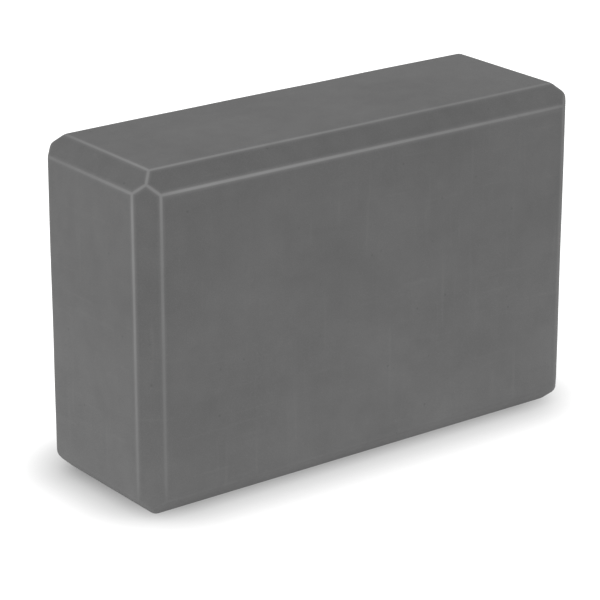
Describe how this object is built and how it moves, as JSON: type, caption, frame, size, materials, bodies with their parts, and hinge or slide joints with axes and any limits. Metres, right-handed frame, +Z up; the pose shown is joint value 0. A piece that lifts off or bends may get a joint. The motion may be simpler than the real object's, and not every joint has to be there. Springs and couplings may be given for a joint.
{
  "type": "yoga block",
  "caption": "Firm foam block with bevelled edges and soft arrises, stood on its broad, narrow or end face to prop a hand, foot, hip or back in yoga and stretching.",
  "frame": {"origin": "middle of the long narrow face that the block stands on in the picture, on the floor", "axes": "+Z up; +X along the length; +Y through the thickness, from the broad front face to the broad back face"},
  "size_m": [0.23, 0.08, 0.15],
  "materials": {
    "foam": "matte"
  },
  "bodies": {
    "root": {"foam_block": "foam"}
  },
  "joints": []
}
